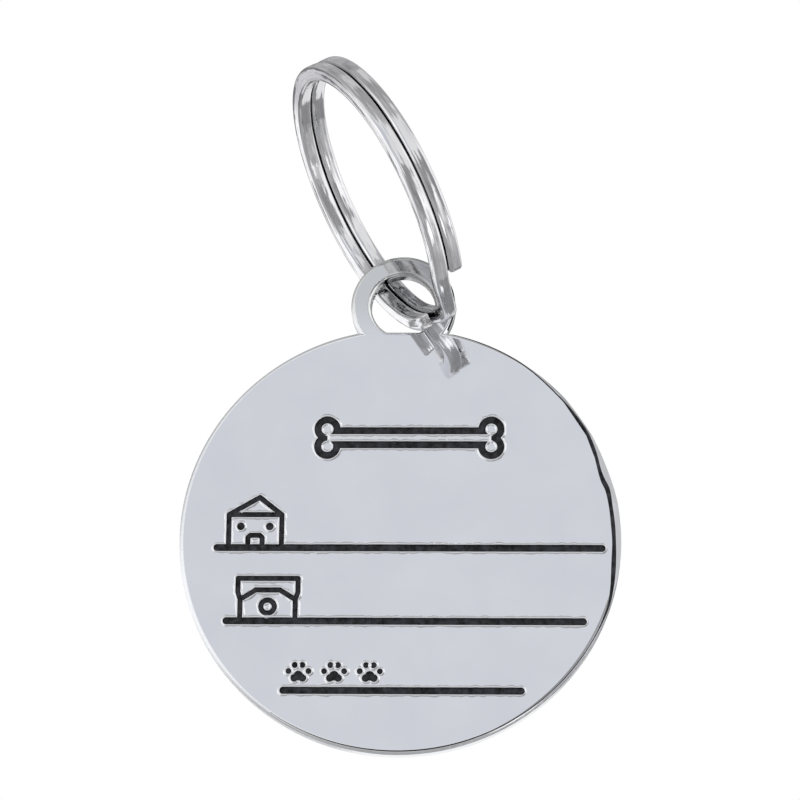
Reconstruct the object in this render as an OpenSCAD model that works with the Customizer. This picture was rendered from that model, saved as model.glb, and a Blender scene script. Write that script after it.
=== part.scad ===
// Pet id tag: a round plated metal blank with a cast eye, engraved and filled with black
// enamel, hanging in a two-turn split ring. Millimetres.
// The blank is drawn lying flat, face up, and is then stood on its rim with its face to -Y
// and its eye to +Z. The origin is where the ring hangs: the top of the ring's inside.

/* [Disc] */
// Diameter of the disc
disc_d = 30; // [24:0.5:40]
// Thickness of the blank
disc_t = 1.3; // [1.1:0.05:2]
// Rounding of the blank's outer edges
rim_r = 0.3; // [0.1:0.05:0.4]

/* [Eye] */
// Outer diameter of the eye
eye_d = 7.2; // [6.6:0.1:9]
// Height of the eye's centre over the disc's circle
eye_reach = 1.65; // [1.4:0.05:2]
// Diameter of the eye's hole
hole_d = 4.4; // [4.2:0.1:5]
// Drop of the hole's flat sill below the hole's centre
sill_drop = 1.9; // [1.7:0.05:2.1]
// Rounding of the hole's edges
hole_round = 0.28; // [0.1:0.02:0.4]
// Radius of the hollow where the eye grows out of the disc
neck_r = 0.35; // [0.2:0.05:1]

/* [Ground edge] */
// Depth of the deepest ground flat, in from the disc's edge on the face
grind_bite = 0.66; // [0.4:0.01:0.8]
// Width across the narrow bevel that runs along the flats
bevel_w = 0.24; // [0.1:0.01:0.3]
// Slope of the bevel below the face, in degrees
bevel_slope = 38; // [30:1:50]
// Slope of the flats below the face, in degrees
grind_slope = 66; // [60:1:75]
// Turn of the first flat up from the disc's horizontal line, in degrees
grind_turn = 1; // [-10:1:10]

/* [Split ring] */
// Outer diameter of the ring
ring_d = 19.6; // [18:0.1:25]
// Thickness of the wire across the coil, from the ring's inside to its outside
wire_t = 1.06; // [0.8:0.01:1.2]
// Width of the wire along the ring's axis
wire_w = 1.03; // [0.8:0.01:1.2]
// Slot between the two coils
coil_gap = 0.06; // [0.04:0.01:0.12]
// Squareness of the wire's section: 2 is an ellipse, more is squarer
wire_square = 3.6; // [2.5:0.1:6]
// Angle of the back coil's end, round the ring from its lowest point
back_end = -32.5; // [-45:0.5:-25]
// Angle of the front coil's end, round the ring from its lowest point
front_end = 16; // [10:0.5:20]

// Angle where the crossing wire has reached the back coil's side
jog_end = 14; // [8:0.5:18]
// Angle where it lies against the front coil again
settle_end = 36; // [30:0.5:40]
// How far it bows out beyond the back coil between these two
jog_bow = 0.15; // [0:0.01:0.3]

/* [Hang] */
// Lean of the ring's axis from upright
ring_lean = 60.1; // [57:0.1:63]
// Turn of the ring's axis about upright
ring_yaw = 13; // [10:0.1:16]
// Angle from the ring's lowest point round to the eye
ring_phase = 43.4; // [40:0.1:47]
// Sideways place of the wire in the hole, from the hole's centre
pass_x = 0.22; // [0.1:0.01:0.3]
// Height of the wire in the hole, from the hole's centre
pass_rise = 0; // [-0.05:0.01:0.1]
// Sideways place of the axis that the tag swings about, from the hole's centre
swing_x = -0.04; // [-0.1:0.01:0.1]
// Height of the swing's axis, from the hole's centre
swing_rise = 0.17; // [0.1:0.01:0.2]

/* [Engraving] */
// Depth of the engraving
groove_t = 0.35; // [0.25:0.05:0.6]
// Width of the sloping lip beside a groove
lip = 0.08; // [0.04:0.01:0.1]
// Draft of a groove's wall, narrower at the bottom by this much a side
draft = 0.03; // [0:0.01:0.05]
// Drop of the enamel below the face
enamel_sink = 0.1; // [0.1:0.01:0.2]
// Clearance round the enamel
enamel_gap = 0.01; // [0.005:0.005:0.02]
// Width of a ruled line
rule_w = 0.49; // [0.3:0.01:0.6]
// Width of the lines in the house and the telephone
icon_w = 0.36; // [0.25:0.01:0.4]
// Width of the outline of the bone
bone_line_w = 0.5; // [0.3:0.01:0.6]

/* [Lines to write on] */
// Height of the address line below the disc's centre
address_drop = 0.71; // [0.5:0.01:0.9]
// Left end of the address line, in from the disc's left side
address_inset_left = 2.6; // [2:0.1:3]
// Right end of the address line, in from the disc's right side
address_inset_right = 1.3; // [1.25:0.05:3]
// Height of the phone line below the disc's centre
phone_drop = 5.84; // [5.7:0.01:6]
// Left end of the phone line, in from the disc's left side
phone_inset_left = 3.35; // [3:0.05:3.7]
// Right end of the phone line, in from the disc's right side
phone_inset_right = 2.55; // [2.4:0.05:3.2]
// Height of the name line below the disc's centre
name_drop = 10.65; // [10.55:0.01:10.75]
// Left end of the name line, in from the disc's left side
name_inset_left = 7.3; // [7:0.05:7.6]
// Right end of the name line, in from the disc's right side
name_inset_right = 6.7; // [6.5:0.05:7]

/* [House] */
// Middle of the house, in from the disc's left side
house_inset = 5.17; // [5:0.01:5.4]
// Width between the middles of its walls
house_w = 3.6; // [3.4:0.05:3.8]
// Height of its eaves over the address line
eaves_h = 2.33; // [2.2:0.01:2.4]
// Height of its ridge over its eaves
ridge_h = 1.22; // [1:0.01:1.5]
// Shift of its ridge to the right of its middle
ridge_shift = 0.28; // [0:0.01:0.4]
// Diameter of a window
window_d = 0.54; // [0.4:0.01:0.6]
// Distance between the windows
window_pitch = 1.97; // [1.9:0.01:2.1]
// Height of the windows over the address line
window_h = 1.5; // [1.4:0.01:1.6]
// Width between the middles of the door's sides
door_w = 0.97; // [0.9:0.01:1.05]
// Cut-off at the corners of the door's head, to the middle of its line
door_corner = 0.16; // [0.1:0.01:0.25]
// Height of the door's head over the address line
door_h = 0.87; // [0.8:0.01:0.9]

/* [Telephone] */
// Middle of the telephone, in from the disc's left side
tel_inset = 6.13; // [6:0.01:6.3]
// Width between the middles of the handset's ends
handset_w = 4.07; // [3.9:0.01:4.2]
// Height of the handset over the phone line
handset_h = 2.97; // [2.9:0.01:3.1]
// Drop of the handset's ends
handset_drop = 0.95; // [0.85:0.01:1.05]
// Width between the middles of the body's walls
tel_w = 3.74; // [3.6:0.01:3.8]
// Height of the body's walls over the phone line
tel_wall_h = 1.5; // [1.4:0.01:1.6]
// Height of the body's top over the phone line
tel_top_h = 2.16; // [2.1:0.01:2.2]
// Width of the body's flat top
tel_top_w = 1.66; // [1.4:0.01:1.8]
// Outer diameter of the dial
dial_d = 1.28; // [1.1:0.01:1.3]
// Diameter of the bare metal inside the dial
dial_eye_d = 0.54; // [0.4:0.01:0.6]
// Height of the dial's centre over the phone line
dial_h = 1.0; // [0.98:0.01:1.05]

/* [Bone] */
// Middle of the bone, to the right of the disc's middle
bone_right = 0.55; // [0:0.05:1]
// Height of the bone over the disc's centre
bone_rise = 7.1; // [6.5:0.05:7.5]
// Length of the bone, over its outline
bone_l = 13; // [11:0.1:14]
// Height of the bone, over its outline
bone_h = 3.04; // [2.9:0.01:3.3]
// Radius of a knuckle, to the middle of its line
knuckle_r = 0.65; // [0.55:0.01:0.7]
// Height of the shaft, between the middles of its lines
shaft_h = 1.0; // [0.9:0.01:1.2]

/* [Paws] */
// Number of paw prints on the name line
paw_count = 3; // [1:1:4]
// Width of a paw print
paw_w = 1.75; // [1.6:0.01:1.8]
// Distance between paw prints
paw_pitch = 2.4; // [2.2:0.05:2.6]
// Middle of the first paw print, in from the disc's left side
paw_inset = 8.32; // [8.1:0.01:8.6]
// Height of the paw prints over the name line
paw_rise = 1.3; // [1.25:0.01:1.4]

/* [Hidden] */
$fn = 96;

// Overrun of every cut past the surface that it opens
over = 0.5;

disc_r = disc_d / 2;
face_z = disc_t / 2;
eye_r = eye_d / 2;
eye_rise = disc_r + eye_reach;
hole_r = hole_d / 2;

// The ring's own sizes. Angles on it run from its lowest point, and grow towards the eye.
ring_r = ring_d / 2;
coil_r = ring_r - wire_t / 2;
inner_r = ring_r - wire_t;
coil_pitch = wire_w + coil_gap;
// Sides of the wire's section, and steps of the swept stretches
wire_sides = 28;
jog_steps = 20;
nose_steps = 3;
// A wire end is rounded over this share of the wire's thickness
nose_share = 0.16;
nose_angle = nose_share * wire_t / coil_r * 180 / PI;
// A swept stretch starts inside the coil, a hair thinner than it, and leaves it on a clean edge
joint_share = 0.99;
joint_angle = nose_angle;

// Where the wire's middle crosses the middle of the blank, seen on the standing tag
pass_point = [pass_x, 0, eye_rise + pass_rise];
// The ring's own axes, stood in the tag's frame
ring_x = [cos(ring_lean) * cos(ring_yaw), cos(ring_lean) * sin(ring_yaw), -sin(ring_lean)];
ring_y = [-sin(ring_yaw), cos(ring_yaw), 0];
ring_centre = pass_point - coil_r * (cos(ring_phase) * ring_x + sin(ring_phase) * ring_y);
// The ring's inside is highest straight across from its lowest point
hang_point = ring_centre - inner_r * ring_x;
swing_point = [swing_x, 0, eye_rise + swing_rise];

echo(hang_point = hang_point, swing_at = swing_point - hang_point);
echo(ring_centre = ring_centre - hang_point, least_gap_in_wire = coil_gap);

// Puts what is drawn lying flat, face up, where the hanging tag has it
module stand_tag() translate(-hang_point) rotate([90, 0, 0]) children();

// Puts a ring drawn round the Z axis, its lowest point at +X, where the tag hangs in it
module hang_ring()
  translate(ring_centre - hang_point) rotate([0, ring_lean, ring_yaw]) children();

// Half section of a round plate with rounded edges
module plate_section(r, t, round_r) {
  translate([0, -t / 2]) square([r - round_r, t]);
  translate([0, round_r - t / 2]) square([r, t - 2 * round_r]);
  for (side = [-1, 1]) translate([r - round_r, side * (t / 2 - round_r)]) circle(round_r);
}

// Section of what is cut away beyond a rounded edge that lies r from the line x = 0
module flare_section(r, t, round_r, reach) {
  difference() {
    translate([0, -t / 2 - over]) square([r + reach, t + 2 * over]);
    translate([r, round_r - t / 2]) square([reach + over, t - 2 * round_r]);
    translate([r + round_r, -t / 2]) square([reach + over, t]);
    for (side = [-1, 1]) translate([r + round_r, side * (t / 2 - round_r)]) circle(round_r);
  }
}

// The hollow in the corner between the eye and the disc, on the right-hand side.
// Its centre lies neck_r outside both circles.
neck_disc = disc_r + neck_r;
neck_eye = eye_r + neck_r;
neck_y = (neck_disc * neck_disc - neck_eye * neck_eye + eye_rise * eye_rise) / (2 * eye_rise);
neck_x = sqrt(neck_disc * neck_disc - neck_y * neck_y);

module neck_web() {
  difference() {
    translate([0, 0, -disc_t / 2]) linear_extrude(disc_t) polygon([
      [0, eye_rise],
      [neck_x * eye_r / neck_eye, eye_rise + (neck_y - eye_rise) * eye_r / neck_eye],
      [neck_x, neck_y],
      [neck_x * disc_r / neck_disc, neck_y * disc_r / neck_disc],
      [0, disc_r / 2]
    ]);
    translate([neck_x, neck_y, 0])
      rotate_extrude() flare_section(neck_r, disc_t, rim_r, rim_r);
  }
}

// The hole: a round cut with rounded edges, closed below by a flat sill
module hole_cut() {
  translate([0, eye_rise, 0]) intersection() {
    rotate_extrude() flare_section(hole_r, disc_t, hole_round, hole_round);
    translate([-hole_d, 0, 0]) rotate([90, 0, 90]) linear_extrude(2 * hole_d)
      mirror([1, 0]) translate([sill_drop - hole_d, 0])
        flare_section(hole_d, disc_t, hole_round, hole_round);
  }
}

// Three flats ground on the edge where the casting's gate was broken off: each flat's further
// turn in degrees, and its share of the deepest bite
grind_turns = [0, 19, 32];
grind_shares = [0.92, 1, 0.7];
bevel_h = bevel_w * tan(bevel_slope);

module ground_edge() {
  flat_w = (disc_t - bevel_h + over) / tan(grind_slope);
  for (i = [0:len(grind_turns) - 1])
    rotate([0, 0, grind_turn + grind_turns[i]])
      translate([disc_r - grind_bite * grind_shares[i], disc_r, face_z])
        rotate([90, 0, 0]) linear_extrude(disc_d) polygon([
          [0, 0], [bevel_w, -bevel_h], [bevel_w + flat_w, -disc_t - over],
          [disc_r, -disc_t - over], [disc_r, over], [0, over]
        ]);
}

// Half section of a groove as its cutter leaves it, w from its middle to its wall
function groove_half(w) = [
  [0, -groove_t], [w - draft, -groove_t], [w, -lip], [w + lip, 0], [w + lip, over], [0, over]
];

// Half section of the enamel in the same groove
wall_rate = draft / (groove_t - lip);
function enamel_half(w) = [
  [0, enamel_gap - groove_t],
  [w - draft + wall_rate * enamel_gap - enamel_gap, enamel_gap - groove_t],
  [w - wall_rate * (enamel_sink - lip) - enamel_gap, -enamel_sink],
  [0, -enamel_sink]
];

function half_section(w, cut) = cut ? groove_half(w) : enamel_half(w);

// A pit of radius w, or the enamel in it
module dot(at, w, cut)
  translate([at[0], at[1], face_z]) rotate_extrude() polygon(half_section(w, cut));

// One straight run of a line of half width w, without its ends
module run(a, b, w, cut) {
  half = half_section(w, cut);
  other = [for (i = [len(half) - 1:-1:0]) if (half[i][0] > 0) [-half[i][0], half[i][1]]];
  translate([a[0], a[1], face_z]) rotate([0, 0, atan2(b[1] - a[1], b[0] - a[0])])
    rotate([90, 0, 90]) linear_extrude(norm(b - a)) polygon(concat(half, other));
}

// A line along points, with round ends and corners, as a round cutter leaves it
module line(points, line_w, cut) {
  for (i = [0:len(points) - 2]) run(points[i], points[i + 1], line_w / 2, cut);
  for (p = points) dot(p, line_w / 2, cut);
}

// A ring-shaped groove with its middle at radius r, or the enamel in it
module ring_line(at, r, line_w, cut) {
  half = half_section(line_w / 2, cut);
  right = [for (p = half) [r + p[0], p[1]]];
  left = [for (i = [len(half) - 1:-1:0]) if (half[i][0] > 0) [r - half[i][0], half[i][1]]];
  translate([at[0], at[1], face_z]) rotate_extrude() polygon(concat(right, left));
}

house_x = house_inset - disc_r;

module address_line(cut) {
  y = -address_drop;
  left = house_x - house_w / 2;
  right = house_x + house_w / 2;
  ridge_x = house_x + ridge_shift;
  door_r = door_w / 2;
  head = y + door_h;
  line([[address_inset_left - disc_r, y], [disc_r - address_inset_right, y]], rule_w, cut);
  line([[left, y], [left, y + eaves_h], [ridge_x, y + eaves_h + ridge_h],
        [right, y + eaves_h], [right, y]], icon_w, cut);
  line([[left, y + eaves_h], [right, y + eaves_h]], icon_w, cut);
  line([[house_x - door_r, y], [house_x - door_r, head - door_corner],
        [house_x - door_r + door_corner, head], [house_x + door_r - door_corner, head],
        [house_x + door_r, head - door_corner], [house_x + door_r, y]], icon_w, cut);
}

module house_windows(cut)
  for (side = [-1, 1])
    dot([house_x + side * window_pitch / 2, window_h - address_drop], window_d / 2, cut);

tel_x = tel_inset - disc_r;

module phone_line(cut) {
  y = -phone_drop;
  x = tel_x;
  hand = handset_w / 2;
  wall = tel_w / 2;
  top = tel_top_w / 2;
  line([[phone_inset_left - disc_r, y], [disc_r - phone_inset_right, y]], rule_w, cut);
  line([[x - wall, y], [x - wall, y + tel_wall_h], [x - hand, y + handset_h - handset_drop],
        [x - hand, y + handset_h], [x + hand, y + handset_h],
        [x + hand, y + handset_h - handset_drop], [x + wall, y + tel_wall_h],
        [x + wall, y]], icon_w, cut);
  line([[x - wall, y + tel_wall_h], [x - top, y + tel_top_h], [x + top, y + tel_top_h],
        [x + wall, y + tel_wall_h]], icon_w, cut);
}

module phone_dial(cut)
  ring_line([tel_x, dial_h - phone_drop], (dial_d + dial_eye_d) / 4,
            (dial_d - dial_eye_d) / 2, cut);

// A paw print in shares of its width: [across, up, radius] for the pad and for the toes
pad_shares = [[0, -0.16, 0.19], [-0.16, -0.25, 0.15], [0.16, -0.25, 0.15]];
toe_shares = [[-0.385, 0.02, 0.115], [-0.145, 0.26, 0.12], [0.145, 0.26, 0.12], [0.385, 0.02, 0.115]];

module name_line(cut) {
  line([[name_inset_left - disc_r, -name_drop], [disc_r - name_inset_right, -name_drop]], rule_w, cut);
  for (i = [0:paw_count - 1], s = concat(pad_shares, toe_shares))
    dot([paw_inset - disc_r + i * paw_pitch + s[0] * paw_w, paw_rise - name_drop + s[1] * paw_w],
        s[2] * paw_w, cut);
}

// The bone's outline is what lies between two bones, one grown and one shrunk by half a line
knuckle_x = (bone_l - bone_line_w) / 2 - knuckle_r;
knuckle_y = (bone_h - bone_line_w) / 2 - knuckle_r;

// A solid bone whose wall stands at grow outside the outline's middle line, and leans out
// upwards where side is 1 and in where it is -1
module bone_body(side, cut) {
  half = half_section(bone_line_w / 2, cut);
  wall = [for (p = half) if (p[0] > 0) p];
  for (sx = [-1, 1], sy = [-1, 1])
    translate([sx * knuckle_x, sy * knuckle_y, 0]) rotate_extrude()
      polygon(concat([[0, half[0][1]]], [for (p = wall) [knuckle_r + side * p[0], p[1]]],
                     [[0, half[len(half) - 1][1]]]));
  translate([-knuckle_x, 0, 0]) rotate([90, 0, 90]) linear_extrude(2 * knuckle_x)
    polygon(concat([for (p = wall) [shaft_h / 2 + side * p[0], p[1]]],
                   [for (i = [len(wall) - 1:-1:0]) [-shaft_h / 2 - side * wall[i][0], wall[i][1]]]));
}

module bone_line(cut)
  translate([bone_right, bone_rise, face_z]) difference() {
    bone_body(1, cut);
    bone_body(-1, cut);
  }

// The wire's section, flattened like a rounded square: [outwards from the coil's middle, along the axis]
function wire_point(i, share) =
  let (a = 360 * i / wire_sides, c = cos(a), s = sin(a), power = 2 / wire_square)
  share * [sign(c) * pow(abs(c), power) * wire_t / 2, sign(s) * pow(abs(s), power) * wire_w / 2];

wire_section = [for (i = [0:wire_sides - 1]) wire_point(i, 1)];

// Sections swept round the ring, each given as [angle, shift along the axis, share of full size]
module sweep(stations) {
  count = len(stations);
  points = [for (s = stations, i = [0:wire_sides - 1])
    let (p = wire_point(i, s[2]), r = coil_r + p[0]) [r * cos(s[0]), r * sin(s[0]), s[1] + p[1]]];
  sides = [for (k = [0:count - 2], i = [0:wire_sides - 1])
    let (j = (i + 1) % wire_sides, a = k * wire_sides, b = a + wire_sides)
    each [[a + i, b + j, b + i], [a + i, a + j, b + j]]];
  ends = [[for (i = [wire_sides - 1:-1:0]) i],
          [for (i = [0:wire_sides - 1]) (count - 1) * wire_sides + i]];
  polyhedron(points, concat(sides, ends));
}

// A whole coil from one angle to the next, shifted along the axis
module coil(from, to, shift)
  translate([0, 0, shift]) rotate([0, 0, from])
    rotate_extrude(angle = to - from) translate([coil_r, 0]) polygon(wire_section);

// The rounded tip past a wire end: way is the direction in which the wire ends
module nose(angle, way, shift) {
  tip = [for (k = [1:nose_steps]) let (a = 90 * k / nose_steps)
    [angle + way * nose_angle * sin(a), shift, joint_share - nose_share * (1 - cos(a))]];
  stations = concat([[angle - way * joint_angle, shift, joint_share]], tip);
  sweep(way > 0 ? stations : [for (i = [len(stations) - 1:-1:0]) stations[i]]);
}

// The stretch that crosses from the front coil's place to the back coil's, bowing out past it
function eased(u) = let (v = min(max(u, 0), 1)) v * v * (3 - 2 * v);
function jog_shift(angle, front, back) = front
  + (back - front + jog_bow * (1 - eased((angle - jog_end) / (settle_end - jog_end))))
  * eased((angle - back_end) / (jog_end - back_end));

module jog(front, back) {
  crossing = [for (k = [1:jog_steps - 1])
    let (angle = back_end + (settle_end - back_end) * k / jog_steps)
    [angle, jog_shift(angle, front, back), joint_share]];
  sweep(concat([[back_end - joint_angle, front, joint_share]], crossing,
               [[settle_end + joint_angle, back, joint_share]]));
}

module tag_blank() color("gainsboro") stand_tag() difference() {
  union() {
    rotate_extrude() plate_section(disc_r, disc_t, rim_r);
    translate([0, eye_rise, 0]) rotate_extrude() plate_section(eye_r, disc_t, rim_r);
    neck_web();
    mirror([1, 0, 0]) neck_web();
  }
  hole_cut();
  ground_edge();
  address_line(true);
  house_windows(true);
  phone_line(true);
  phone_dial(true);
  name_line(true);
  bone_line(true);
}

// The front coil starts at its own end, goes once round and jogs over into the back coil
module split_ring() color("silver") hang_ring() {
  front = -coil_pitch / 2;
  back = coil_pitch / 2;
  jog(front, back);
  union() {
    coil(front_end, back_end + 360, front);
    nose(front_end, -1, front);
  }
  union() {
    coil(settle_end, back_end + 360, back);
    nose(back_end, 1, back);
  }
}

module address_enamel() color("black") stand_tag() address_line(false);
module house_window_enamel() color("black") stand_tag() house_windows(false);
module phone_enamel() color("black") stand_tag() phone_line(false);
module phone_dial_enamel() color("black") stand_tag() phone_dial(false);
module name_enamel() color("black") stand_tag() name_line(false);
module heading_enamel() color("black") stand_tag() bone_line(false);

tag_blank();
split_ring();
address_enamel();
house_window_enamel();
phone_enamel();
phone_dial_enamel();
name_enamel();
heading_enamel();
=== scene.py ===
import math

import bmesh
import bpy
from mathutils import Matrix, Vector, noise


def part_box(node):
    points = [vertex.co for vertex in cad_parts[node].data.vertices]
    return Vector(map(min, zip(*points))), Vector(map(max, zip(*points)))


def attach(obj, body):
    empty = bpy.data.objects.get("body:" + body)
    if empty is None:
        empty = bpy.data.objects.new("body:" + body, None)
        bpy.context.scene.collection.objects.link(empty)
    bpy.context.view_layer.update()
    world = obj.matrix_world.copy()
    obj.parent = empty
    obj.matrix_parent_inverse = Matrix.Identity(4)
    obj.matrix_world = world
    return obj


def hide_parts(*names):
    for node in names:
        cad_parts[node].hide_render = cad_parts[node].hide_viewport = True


# The viewpoint: a long lens a little below the disc and to its right, looking up at the face
# as at a tag that is held up by its ring. The tag's own node says where its disc is.
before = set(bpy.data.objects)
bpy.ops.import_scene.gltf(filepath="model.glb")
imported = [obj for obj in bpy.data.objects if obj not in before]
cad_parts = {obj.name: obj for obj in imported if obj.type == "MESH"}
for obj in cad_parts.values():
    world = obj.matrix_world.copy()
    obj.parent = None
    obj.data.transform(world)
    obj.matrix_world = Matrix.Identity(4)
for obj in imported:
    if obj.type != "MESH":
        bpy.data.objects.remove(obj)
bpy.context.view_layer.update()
MM = 0.001
disc_r = 15 * MM
tag_low, tag_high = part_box("tag_blank")
disc_centre = Vector(((tag_low.x + tag_high.x) / 2, (tag_low.y + tag_high.y) / 2, tag_low.z + disc_r))
view_turn, view_tilt, view_roll = math.radians(2.7), math.radians(17.6), math.radians(0.86)
view_distance, view_side, view_rise = 305.6 * MM, -0.0115 * MM, 9.544 * MM
lens, sensor, nearest, farthest = 202.5, 36, 0.01, 20


def way_out(turn, lift):
    """The direction at a turn from straight in front towards the right, and a lift from level."""
    return Vector((math.sin(turn) * math.cos(lift), -math.cos(turn) * math.cos(lift), math.sin(lift)))


camera_back = way_out(view_turn, -view_tilt)
level_right = Vector((math.cos(view_turn), math.sin(view_turn), 0))
level_up = camera_back.cross(level_right)
camera_right = level_right * math.cos(view_roll) + level_up * math.sin(view_roll)
camera_up = level_up * math.cos(view_roll) - level_right * math.sin(view_roll)
camera_place = (disc_centre + camera_back * view_distance + camera_right * view_side
                + camera_up * view_rise)
camera_turn = Matrix((camera_right, camera_up, camera_back)).transposed().to_4x4()
camera = bpy.data.objects.new("camera", bpy.data.cameras.new("camera"))
camera.data.sensor_width = sensor
camera.data.lens = lens
camera.data.clip_start = nearest
camera.data.clip_end = farthest
camera.matrix_world = Matrix.Translation(camera_place) @ camera_turn
bpy.context.scene.collection.objects.link(camera)
bpy.context.scene.camera = camera

# The tag blank is one zinc casting, ground and polished by hand and then plated bright. Its
# face is nearly a mirror with a fine haze of scratches. The ground side of the rim is duller.
# The top of the eye and a streaked patch on its right are painted darker: a painted reflection.
polish_shades = (0.80, 0.81, 0.83), (0.84, 0.85, 0.865)
ground_shade, painted_eye_shade = (0.50, 0.505, 0.53), (0.70, 0.71, 0.70)
reflection_patch_shades = (0.33, 0.33, 0.335), (0.58, 0.58, 0.585)
# Each pair says where a finish starts and where it is full. Facing is how far the metal turns
# to the right, from 0 on the face to 1, and the painted reflection patch lies past a slanting line.
ground_facing, left_facing = (0.2, 0.4), (-0.05, -0.3)
ground_side = disc_centre.x + 0.60 * disc_r, disc_centre.x + 0.75 * disc_r
eye_height = disc_centre.z + 14.0 * MM, disc_centre.z + 17.5 * MM
reflection_patch_height = disc_centre.z + 15.8 * MM, disc_centre.z + 16.2 * MM
reflection_patch_slope = 0.64
reflection_patch_middle = disc_centre.x + reflection_patch_slope * disc_centre.z
reflection_patch_side = reflection_patch_middle + 11.70 * MM, reflection_patch_middle + 11.95 * MM
reflection_streak_lean, reflection_streak_stretch = (0, 0.55, 0), (6, 1, 1)
brush_stretch = (0.12, 1, 1)
ground_dullness, left_rim_dullness = 0.25, 0.4
noise_low, noise_high = 0.3, 0.7


def new_finish(name):
    """A material with its node tree, and its shader's sockets."""
    material = bpy.data.materials.new(name)
    material.use_nodes = True
    return material, material.node_tree, material.node_tree.nodes["Principled BSDF"].inputs


def add_node(tree, kind, **values):
    """A node with its sockets and settings at these values."""
    made = tree.nodes.new(kind)
    for name, value in values.items():
        if name in made.inputs:
            made.inputs[name].default_value = value
        else:
            setattr(made, name, value)
    return made


def feed(tree, socket, value):
    """Links an output to the socket, or sets the socket to a number or a colour."""
    if isinstance(value, bpy.types.NodeSocket):
        tree.links.new(value, socket)
    elif isinstance(value, tuple):
        socket.default_value = (*value, 1)
    else:
        socket.default_value = value


def own_place(tree, stretch=(1, 1, 1)):
    """The object's own coordinates, multiplied by stretch along each axis."""
    place = add_node(tree, "ShaderNodeTexCoord")
    mapping = add_node(tree, "ShaderNodeMapping", Scale=stretch)
    feed(tree, mapping.inputs["Vector"], place.outputs["Object"])
    return mapping.outputs["Vector"]


def parts_of(tree, vector):
    """A vector's X, Y and Z."""
    parts = add_node(tree, "ShaderNodeSeparateXYZ")
    feed(tree, parts.inputs["Vector"], vector)
    return parts.outputs


def reckon(tree, operation, *terms):
    """The result of a Math node on outputs and numbers."""
    made = add_node(tree, "ShaderNodeMath", operation=operation)
    for socket, term in zip(made.inputs, terms):
        feed(tree, socket, term)
    return made.outputs[0]


def ramp(tree, value, start, end, low=0, high=1, easing="LINEAR"):
    """Low until the value reaches start, high from end on, and a slope between them."""
    slope = add_node(tree, "ShaderNodeMapRange", interpolation_type=easing)
    feed(tree, slope.inputs["Value"], value)
    for name, number in (("From Min", start), ("From Max", end), ("To Min", low), ("To Max", high)):
        feed(tree, slope.inputs[name], number)
    return slope.outputs["Result"]


def cloud(tree, place, grains, detail, low=0, high=1):
    """Noise of so many grains a unit, spread between low and high."""
    speckle = add_node(tree, "ShaderNodeTexNoise", Scale=grains, Detail=detail)
    feed(tree, speckle.inputs["Vector"], place)
    return ramp(tree, speckle.outputs["Fac"], noise_low, noise_high, low, high)


def shade_between(tree, factor, dark, light):
    """The dark colour where the factor is 0, and the light one where it is 1."""
    mix = add_node(tree, "ShaderNodeMix", data_type="RGBA")
    for socket, value in zip((mix.inputs[0], mix.inputs[6], mix.inputs[7]), (factor, dark, light)):
        feed(tree, socket, value)
    return mix.outputs[2]


def raise_by(tree, height, depth, strength, below=None):
    """Turns a height from 0 to 1 into a bump so many metres deep, over another bump."""
    bump = add_node(tree, "ShaderNodeBump", Strength=strength, Distance=depth)
    feed(tree, bump.inputs["Height"], height)
    if below is not None:
        feed(tree, bump.inputs["Normal"], below)
    return bump.outputs["Normal"]


def dress(node, material):
    """Gives a node of the frame its material."""
    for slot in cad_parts[node].material_slots:
        slot.material = material


plate, tree, shader = new_finish("polished plate")
shader["Metallic"].default_value = 1
body = own_place(tree)
place = parts_of(tree, body)
facing = parts_of(tree, add_node(tree, "ShaderNodeTexCoord").outputs["Normal"])
ground = reckon(tree, "MULTIPLY", ramp(tree, facing["X"], *ground_facing),
                ramp(tree, place["X"], *ground_side))
eye = ramp(tree, place["Z"], *eye_height, easing="SMOOTHSTEP")
across = reckon(tree, "MULTIPLY_ADD", place["Z"], reflection_patch_slope, place["X"])
painted_reflection = reckon(tree, "MULTIPLY", ramp(tree, across, *reflection_patch_side, easing="SMOOTHSTEP"),
               ramp(tree, place["Z"], *reflection_patch_height))
reflection_streak_way = add_node(tree, "ShaderNodeMapping", vector_type="TEXTURE", Rotation=reflection_streak_lean,
                    Scale=reflection_streak_stretch)
feed(tree, reflection_streak_way.inputs["Vector"], body)
reflection_streaks = cloud(tree, reflection_streak_way.outputs["Vector"], grains=2600, detail=3)
shade = shade_between(tree, cloud(tree, body, grains=260, detail=3), *polish_shades)
shade = shade_between(tree, ground, shade, ground_shade)
# Painted reflection: the top of the eye is darker, and a streaked patch on its right darker still.
shade = shade_between(tree, eye, shade, painted_eye_shade)
shade = shade_between(tree, painted_reflection, shade, shade_between(tree, reflection_streaks, *reflection_patch_shades))
feed(tree, shader["Base Color"], shade)
dull = cloud(tree, body, grains=900, detail=4, low=0.02, high=0.05)
dull = reckon(tree, "MULTIPLY_ADD", ground, ground_dullness, dull)
dull = reckon(tree, "MULTIPLY_ADD", ramp(tree, facing["X"], *left_facing), left_rim_dullness, dull)
feed(tree, shader["Roughness"], dull)
wavy = raise_by(tree, cloud(tree, body, grains=90, detail=1), depth=0.01 * MM, strength=0.5)
brushed = cloud(tree, own_place(tree, brush_stretch), grains=9000, detail=2)
feed(tree, shader["Normal"], raise_by(tree, brushed, depth=0.001 * MM, strength=0.25, below=wavy))
dress("tag_blank", plate)

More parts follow.
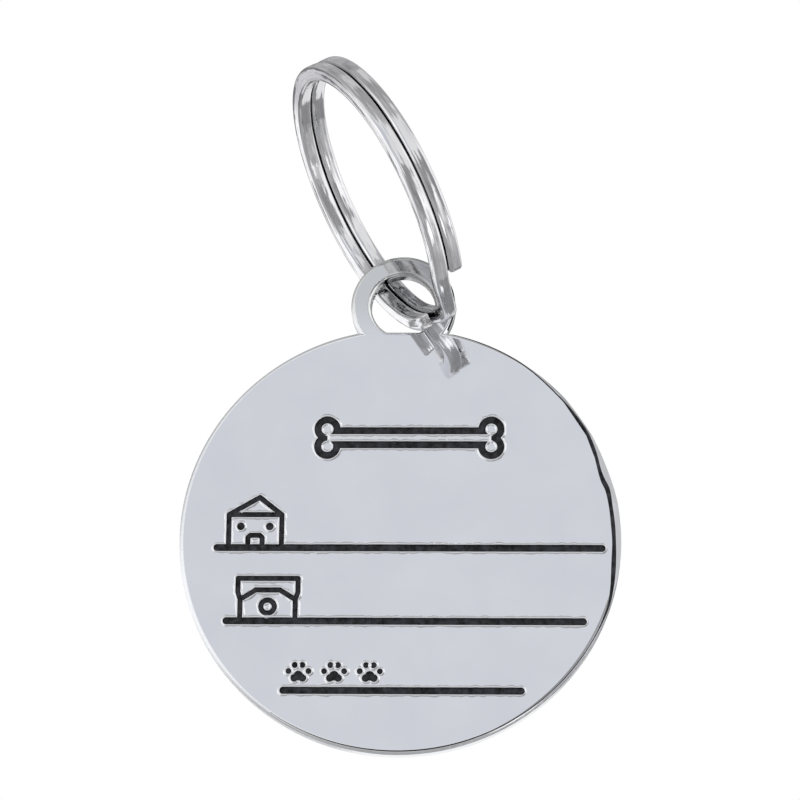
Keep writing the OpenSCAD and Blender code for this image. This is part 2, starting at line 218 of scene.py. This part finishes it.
# The engraving is filled with black stoving enamel, wiped level and baked. It sinks a little
# as it sets, so each line has a soft gloss, fine pits and a thin edge of bare metal.
enamel_names = ("address_enamel", "house_window_enamel", "phone_enamel", "phone_dial_enamel",
                "name_enamel", "heading_enamel")
enamel_shades = (0.001, 0.001, 0.002), (0.040, 0.041, 0.048)
enamel_gloss = 0.2
enamel, tree, shader = new_finish("black enamel")
body = own_place(tree)
uneven_black = cloud(tree, body, grains=2400, detail=4)
feed(tree, shader["Base Color"], shade_between(tree, uneven_black, *enamel_shades))
feed(tree, shader["Roughness"], cloud(tree, body, grains=4000, detail=3, low=0.25, high=0.6))
shader["Specular IOR Level"].default_value = enamel_gloss
sunken = raise_by(tree, cloud(tree, body, grains=3000, detail=2), depth=0.06 * MM, strength=0.7)
pits = cloud(tree, body, grains=9000, detail=3)
feed(tree, shader["Normal"], raise_by(tree, pits, depth=0.006 * MM, strength=0.5, below=sunken))
for name in enamel_names:
    dress(name, enamel)

# The cutter throws up a soft lip of metal along both sides of every groove, and the polishing
# mop rounds it over. Each lip follows the outline of the enamel that lies between them.
lip_w, lip_h, lip_root = 0.16 * MM, 0.045 * MM, 0.05 * MM
lip_step = 0.12 * MM
lip_ripple_share, lip_ripple_length = 0.6, 0.4 * MM
bead_profile = [(0, -1), (0, 0.3), (0.14, 0.85), (0.34, 1), (0.58, 0.72), (0.82, 0.22), (0.97, 0.02),
                (1, 0), (1, -1)]
mitre_limit = 0.6
touching = 0.001 * MM
face_y = tag_low.y
face_out = Vector((0, -1, 0))


def groove_outlines(node):
    """Closed outlines of the enamel's level top. The enamel is on the left of each."""
    level = bmesh.new()
    level.from_mesh(node.data)
    bmesh.ops.remove_doubles(level, verts=level.verts, dist=touching)
    top = min(v.co.y for v in level.verts)
    flat = {f for f in level.faces if max(v.co.y for v in f.verts) < top + touching}
    follow = {}
    for f in flat:
        for corner in f.loops:
            if sum(g in flat for g in corner.edge.link_faces) == 1:
                follow[corner.vert] = corner.link_loop_next.vert
    outlines = []
    while follow:
        at, after = follow.popitem()
        outline = [at.co.copy()]
        while after in follow:
            outline.append(after.co.copy())
            after = follow.pop(after)
        outlines.append([Vector((q.x, face_y, q.z)) for q in outline])
    level.free()
    return outlines


def even_points(outline, step):
    """The outline with its long straights divided into steps."""
    spread = []
    for here, there in zip(outline, outline[1:] + outline[:1]):
        parts = max(1, round((there - here).length / step))
        spread += [here.lerp(there, k / parts) for k in range(parts)]
    return spread


def bead(points, widths, heights, root, closed):
    """Corners and faces of a rounded bead on the face, whose inner foot follows the points."""
    count, sides = len(points), len(bead_profile)
    corners, cells = [], []
    for k, here in enumerate(points):
        back = points[k - 1] if closed or k else here
        on = points[(k + 1) % count] if closed or k < count - 1 else here
        first, second = here - back, on - here
        first = first.normalized() if first.length else second.normalized()
        second = second.normalized() if second.length else first
        side = (first + second).normalized().cross(face_out)
        reach = widths[k] / max(side.dot(first.cross(face_out)), mitre_limit)
        for across, up in bead_profile:
            rise = heights[k] * up if up >= 0 else -root
            corners.append(here + side * (reach * across) + face_out * rise)
    for k in range(count if closed else count - 1):
        here, on = k * sides, (k + 1) % count * sides
        cells += [(here + i, here + (i + 1) % sides, on + (i + 1) % sides, on + i) for i in range(sides)]
    if not closed:
        cells += [tuple(range(sides - 1, -1, -1)), tuple(range((count - 1) * sides, count * sides))]
    return corners, cells


def new_object(name, corners, cells, *materials):
    """An object with a mesh of these corners and faces."""
    shape = bpy.data.meshes.new(name)
    shape.from_pydata(corners, [], cells)
    for material in materials:
        shape.materials.append(material)
    made = bpy.data.objects.new(name, shape)
    bpy.context.scene.collection.objects.link(made)
    return made


def new_piece(name, parts, material, body):
    """One smooth object from several parts' corners and faces, which rides on a body."""
    corners, cells = [], []
    for part_corners, part_cells in parts:
        cells += [tuple(i + len(corners) for i in cell) for cell in part_cells]
        corners += part_corners
    made = new_object(name, corners, cells, material)
    made.data.shade_smooth()
    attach(made, body)


for name in enamel_names:
    lips = []
    for outline in groove_outlines(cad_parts[name]):
        points = even_points(outline, lip_step)
        ripple = [1 + lip_ripple_share * noise.noise(q / lip_ripple_length) for q in points]
        widths, heights = [lip_w * r for r in ripple], [lip_h * r for r in ripple]
        lips.append(bead(points, widths, heights, lip_root, closed=True))
    new_piece(name.replace("enamel", "lips"), lips, plate, "tag")

# One side of the rim was ground by hand after casting. A thin black bead of painted shade wanders
# down that ground edge and on round the lower rim, and two short runs of painted shade lie
# on the right side of the eye.
line_steps, line_h, line_root, full_height_w = 10, 0.03 * MM, 0.16 * MM, 0.1 * MM
rim_rounding, eye_r = 0.3 * MM, 3.6 * MM
eye_centre = Vector((disc_centre.x, face_y, tag_high.z - eye_r))

# Each stop is an angle in degrees, and the line's distance from the rim and width in millimetres.
ground_line = [
    (77, 0.05, 0.03), (70, 0.06, 0.05), (63, 0.07, 0.06), (57, 0.10, 0.07), (51, 0.20, 0.08),
    (45, 0.27, 0.09), (38, 0.27, 0.11), (31, 0.28, 0.15), (26, 0.42, 0.22), (20, 0.64, 0.24),
    (16.5, 0.64, 0.32), (13.5, 0.52, 0.33), (9, 0.54, 0.26), (4, 0.53, 0.29), (-1, 0.49, 0.26),
    (-6, 0.43, 0.32), (-10, 0.33, 0.30), (-14, 0.21, 0.23), (-18, 0.11, 0.16), (-24, 0.10, 0.08),
    (-30, 0.12, 0.05), (-45, 0.17, 0.05), (-60, 0.20, 0.06), (-75, 0.21, 0.08), (-88, 0.22, 0.08),
    (-100, 0.21, 0.07), (-112, 0.18, 0.04), (-125, 0.16, 0.02)]
eye_line_high = [(33, 0.08, 0.03), (26, 0.07, 0.10), (18, 0.06, 0.11), (11, 0.06, 0.08), (6, 0.06, 0.02)]
eye_line_low = [(-5, 0.06, 0.02), (-10, 0.07, 0.08), (-17, 0.08, 0.11), (-24, 0.07, 0.10),
                (-30, 0.04, 0.08)]


def smooth_run(stops, steps):
    """Values along a smooth curve through the stops."""
    ends = [stops[0]] + stops + [stops[-1]]
    run = []
    for a, b, c, d in zip(ends, ends[1:], ends[2:], ends[3:]):
        for k in range(steps):
            u = k / steps
            run.append(tuple(0.5 * (2 * q + (r - p) * u + (2 * p - 5 * q + 4 * r - t) * u ** 2
                                    + (3 * q - p - 3 * r + t) * u ** 3)
                             for p, q, r, t in zip(a, b, c, d)))
    return run + [stops[-1]]


def rim_line(centre, radius, stops):
    """A thin black bead of painted shade along a round rim, which lies on the rim's rounding."""
    points, widths = [], []
    for angle, inset, width in reversed(smooth_run(stops, line_steps)):
        turn, middle = math.radians(angle), (inset + width / 2) * MM
        sink = rim_rounding - math.sqrt(rim_rounding ** 2 - max(rim_rounding - middle, 0) ** 2)
        points.append(Vector((centre.x + (radius - middle) * math.cos(turn), face_y + sink,
                              centre.z + (radius - middle) * math.sin(turn))))
        widths.append(width * MM)
    heights = [line_h * min(1, w / full_height_w) for w in widths]
    return bead(points, widths, heights, line_root, closed=False)


# Painted shade: black beads along the ground edge, the lower rim and the right side of the eye.
edge_lines = [rim_line(disc_centre, disc_r, ground_line), rim_line(eye_centre, eye_r, eye_line_high),
              rim_line(eye_centre, eye_r, eye_line_low)]
new_piece("painted_edge_shade", edge_lines, enamel, "tag")

# The split ring is one length of flattened steel wire, wound twice, with a jog between its
# coils, sheared off at both ends and nickel plated. It is sprung through the tag's eye.
ring_d, wire_t, wire_w, coil_gap = 19.6 * MM, 1.06 * MM, 1.03 * MM, 0.06 * MM
wire_square = 4.4
front_end, back_end, jog_end, settle_end, full_turn = 16, -32.5, 14, 36, 360
jog_bow = 0.15 * MM
ring_lean, ring_yaw = math.radians(60.1), math.radians(13)
nose_share, end_reach_share, nose_steps = 0.32, 0.16, 6
end_slant, slant_reach = 0.32 * MM, 1.1 * MM
section_sides, coil_steps = 40, 720
coil_r = (ring_d - wire_t) / 2
coil_pitch = wire_w + coil_gap
ring_x = Vector((math.cos(ring_lean) * math.cos(ring_yaw), math.cos(ring_lean) * math.sin(ring_yaw),
                 -math.sin(ring_lean)))
ring_y = Vector((-math.sin(ring_yaw), math.cos(ring_yaw), 0))
ring_axis = ring_x.cross(ring_y)
ring_centre = ring_x * (ring_d / 2 - wire_t)


def eased(share):
    """A share from 0 to 1 that sets off softly and arrives softly."""
    share = min(max(share, 0), 1)
    return share * share * (3 - 2 * share)


def jog_shift(turn):
    """Place along the axis of the crossing wire, and of the back coil that it becomes."""
    bow = jog_bow * (1 - eased((turn - jog_end) / (settle_end - jog_end)))
    return (coil_pitch + bow) * eased((turn - back_end) / (jog_end - back_end)) - coil_pitch / 2


def wire_outline():
    """Points round the wire: outwards from the coil's middle, and along the ring's axis."""
    for i in range(section_sides):
        turn = 2 * math.pi * i / section_sides
        c, s = math.cos(turn), math.sin(turn)
        yield (math.copysign(abs(c) ** (2 / wire_square), c) * wire_t / 2,
               math.copysign(abs(s) ** (2 / wire_square), s) * wire_w / 2)


def wire_stations():
    """Turn and share of full thickness, from the front coil's end to the back coil's."""
    nose = math.degrees(nose_share * wire_t / coil_r)
    kept_back = math.degrees((nose_share - end_reach_share) * wire_t / coil_r)
    first, last = front_end + kept_back, back_end + 2 * full_turn - kept_back
    rise = [math.pi / 2 * k / nose_steps for k in range(nose_steps)]
    for a in rise:
        yield first - nose * math.cos(a), 1 - nose_share * (1 - math.sin(a))
    for k in range(coil_steps + 1):
        yield first + (last - first) * k / coil_steps, 1
    for a in reversed(rise):
        yield last + nose * math.cos(a), 1 - nose_share * (1 - math.sin(a))


stations, outline = list(wire_stations()), list(wire_outline())
wire_points, wire_places = [], []
for turn, share in stations:
    shift = -coil_pitch / 2 if turn < full_turn + back_end else jog_shift(turn - full_turn)
    from_end = coil_r * math.radians(turn - front_end)
    slant = end_slant * (1 - eased(from_end / slant_reach))
    for p, q in outline:
        a = math.radians(turn) + slant * (0.5 + q / wire_w) / coil_r
        out = ring_x * math.cos(a) + ring_y * math.sin(a)
        wire_points.append(ring_centre + out * (coil_r + p * share) + ring_axis * (shift + q * share))
        wire_places.append((coil_r * math.radians(turn) / MM, p / MM, q / MM))
n = section_sides
wire_sides = [(k * n + i, (k + 1) * n + i, (k + 1) * n + (i + 1) % n, k * n + (i + 1) % n)
              for k in range(len(stations) - 1) for i in range(n)]
wire_ends = [tuple(range(n)), tuple(range(len(wire_points) - 1, len(wire_points) - 1 - n, -1))]

nickel_shades = (0.66, 0.66, 0.675), (0.76, 0.76, 0.775)
dark_stretch_shade, crevice_painted_shade, grime_and_shade = (0.34, 0.34, 0.362), (0.26, 0.26, 0.285), (0.13, 0.13, 0.14)
# Where a darker stretch comes and goes along the wire, in millimetres from its front end, and
# where it sets in towards the flat side that is turned away from the other coil.
dark_stretch_start, dark_stretch_end, dark_stretch_side = (24, 27.6), (42, 34.8), (-0.38, -0.48)
# How near a wall shelters the metal, and the open shares between which painted shade and grime thin out.
slot_reach, slot_shelter = 0.5 * MM, (0, 0.12)
painted_shade_reach, painted_shade_shelter = 2.6 * MM, (0.10, 0.50)
shelter_samples = 16
sheared_shades = (0.30, 0.30, 0.31), (0.78, 0.78, 0.78)


def crevice(tree, reach, closed, open_share):
    """0 in a crevice, where grime and painted shade gather, and 1 on open metal."""
    shelter = add_node(tree, "ShaderNodeAmbientOcclusion", samples=shelter_samples, Distance=reach)
    return ramp(tree, shelter.outputs["AO"], closed, open_share, easing="SMOOTHSTEP")


def wire_place(tree, stretch=(1, 1, 1)):
    """The place in the wire, in millimetres: along it, outwards and along the ring's axis."""
    place = add_node(tree, "ShaderNodeAttribute", attribute_name="wire_place")
    mapping = add_node(tree, "ShaderNodeMapping", Scale=stretch)
    feed(tree, mapping.inputs["Vector"], place.outputs["Vector"])
    return mapping.outputs["Vector"]


nickel, tree, shader = new_finish("nickel plated wire")
shader["Metallic"].default_value = 1
place = parts_of(tree, wire_place(tree))
streaks = wire_place(tree, (0.07, 2.6, 2.6))
dents = wire_place(tree, (0.35, 1.1, 1.1))
hairlines = wire_place(tree, (0.4, 16, 16))
darker_stretch = reckon(tree, "MULTIPLY", ramp(tree, place["X"], *dark_stretch_start, easing="SMOOTHSTEP"),
                   ramp(tree, place["X"], *dark_stretch_end, easing="SMOOTHSTEP"))
darker_stretch = reckon(tree, "MULTIPLY", darker_stretch, ramp(tree, place["Z"], *dark_stretch_side))
shade = shade_between(tree, cloud(tree, dents, grains=1.2, detail=3), *nickel_shades)
shade = shade_between(tree, darker_stretch, shade, dark_stretch_shade)
# Painted shade: the wire is darker where other metal shelters it, out to a few millimetres.
shade = shade_between(tree, crevice(tree, painted_shade_reach, *painted_shade_shelter), crevice_painted_shade, shade)
# Grime and painted shade in the narrow slot between the coils.
shade = shade_between(tree, crevice(tree, slot_reach, *slot_shelter), grime_and_shade, shade)
feed(tree, shader["Base Color"], shade)
feed(tree, shader["Roughness"], cloud(tree, dents, grains=3, detail=3, low=0.05, high=0.15))
surface = raise_by(tree, cloud(tree, dents, grains=1, detail=2), depth=0.10 * MM, strength=0.4)
drawn = cloud(tree, streaks, grains=1, detail=1)
surface = raise_by(tree, drawn, depth=0.05 * MM, strength=0.7, below=surface)
scratched = cloud(tree, hairlines, grains=1, detail=3)
surface = raise_by(tree, scratched, depth=0.004 * MM, strength=0.4, below=surface)
feed(tree, shader["Normal"], surface)

sheared, tree, shader = new_finish("sheared wire end")
shader["Metallic"].default_value = 1
body = own_place(tree)
torn = cloud(tree, body, grains=3000, detail=3)
feed(tree, shader["Base Color"], shade_between(tree, torn, *sheared_shades))
feed(tree, shader["Roughness"], cloud(tree, body, grains=3000, detail=3, low=0.25, high=0.5))
feed(tree, shader["Normal"],
     raise_by(tree, cloud(tree, body, grains=2600, detail=3), depth=0.08 * MM, strength=0.8))

ring = new_object("split_ring_wire", wire_points, wire_sides + wire_ends, nickel, sheared)
marks = ring.data.attributes.new("wire_place", "FLOAT_VECTOR", "POINT")
for mark, place in zip(marks.data, wire_places):
    mark.vector = place
for face in ring.data.polygons:
    is_end = face.index >= len(wire_sides)
    face.use_smooth = not is_end
    face.material_index = int(is_end)
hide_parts("split_ring")
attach(ring, "ring")
dress("split_ring", nickel)

# The stand is a plain pale room: a matt floor well below the hanging tag, and a white tent
# whose grey cloths and lamps hang far out, where only the bright metal picks them up.
floor_span, floor_drop, floor_tone, floor_roughness = 2, 0.2, 0.92, 0.9
panel_steps, panel_rows = 24, 12
patch_grains, patch_detail = 3, 2
front_tone, front_uneven = (0.735, 0.752, 0.80), 0.01
blue_share = 1.01
# Each row is a name, the turn from and to, the lift from and to, the distance in metres, the
# tone, and the share by which the tone varies.
grey_panels = [
    ("lens panel", 10, 42, -32, 10, 1.1, 0.36, 0.2),
    ("front low panel", -20, 48, -46, -12, 1.3, 0.44, 0.2),
    ("left lamp", -112, -28, -24, 15, 1.35, 1.3, 0.2),
    ("right lamp", 44, 112, -18, 34, 1.35, 1.25, 0.2),
    ("right low lamp", 40, 64, -54, -37, 1.05, 1.5, 0.2),
    ("canopy rim", -180, 180, 44, 60, 1.4, 0.58, 0.2),
    ("canopy", -180, 180, 60, 77, 1.5, 0.44, 0.2),
    ("canopy top", -180, 180, 77, 90, 1.6, 0.72, 0.2),
    ("left back panel", -180, -122, -50, -12, 1.3, 0.34, 0.2),
    ("left back lamp", -148, -122, -12, 14, 1.3, 1.35, 0.2),
    ("left back high panel", -180, -122, 14, 44, 1.3, 0.42, 0.2),
    ("left high panel", -122, -76, 17, 44, 1.3, 0.38, 0.2),
    ("right back panel", 122, 180, -50, -4, 1.3, 0.36, 0.2),
    ("low side panel", -180, 180, -34, -24, 1.4, 0.70, 0.2),
    ("low panel", -180, 180, -60, -34, 1.45, 0.54, 0.2),
    ("bottom panel", -180, 180, -90, -60, 1.5, 0.44, 0.2),
    ("back panel", 150, 214, 5, 34, 1.2, 0.30, 0.03),
    ("back low lamp", 150, 205, -26, 5, 1.2, 1.0, 0.03)]

floor_paint, tree, shader = new_finish("floor paint")
shader["Base Color"].default_value = (floor_tone, floor_tone, floor_tone, 1)
shader["Roughness"].default_value = floor_roughness
floor_corners = [(x * floor_span, y * floor_span, -floor_drop)
                 for x, y in ((-1, -1), (1, -1), (1, 1), (-1, 1))]
floor = new_object("floor", floor_corners, [(0, 1, 2, 3)], floor_paint)
floor.visible_glossy = False


def hang_panel(name, turn_from, turn_to, lift_from, lift_to, distance, tone, uneven):
    """Glowing cloth round the tag. Turn goes from straight in front towards the right, lift goes up."""
    row = panel_steps + 1
    corners, cells = [], []
    for j in range(panel_rows + 1):
        lift = math.radians(lift_from + (lift_to - lift_from) * j / panel_rows)
        for i in range(row):
            turn = math.radians(turn_from + (turn_to - turn_from) * i / panel_steps)
            corners.append(disc_centre + distance * way_out(turn, lift))
    for j in range(panel_rows):
        cells += [(k, k + 1, k + row + 1, k + row) for k in range(j * row, j * row + panel_steps)]
    cloth = bpy.data.materials.new(name)
    cloth.use_nodes = True
    cloth.cycles.emission_sampling = "NONE"
    tree = cloth.node_tree
    tree.nodes.clear()
    glow = add_node(tree, "ShaderNodeEmission", Strength=1)
    patches = cloud(tree, own_place(tree), patch_grains, patch_detail)
    darker, lighter = (tuple(t * (1 + way * uneven) for t in tone) for way in (-1, 1))
    feed(tree, glow.inputs["Color"], shade_between(tree, patches, darker, lighter))
    feed(tree, add_node(tree, "ShaderNodeOutputMaterial").inputs["Surface"], glow.outputs["Emission"])
    panel = new_object(name, corners, cells, cloth)
    panel.visible_camera = panel.visible_diffuse = panel.visible_shadow = False


hang_panel("front panel", -24, 14, -7, 36, 1.2, front_tone, front_uneven)
for name, *spans, tone, uneven in grey_panels:
    hang_panel(name, *spans, (tone, tone, tone * blue_share), uneven)

world = bpy.data.worlds.new("white room")
world.use_nodes = True
world.node_tree.nodes["Background"].inputs["Color"].default_value = (1, 1, 1, 1)
world.node_tree.nodes["Background"].inputs["Strength"].default_value = 1
bpy.context.scene.world = world
bpy.context.scene.view_settings.view_transform = "Standard"
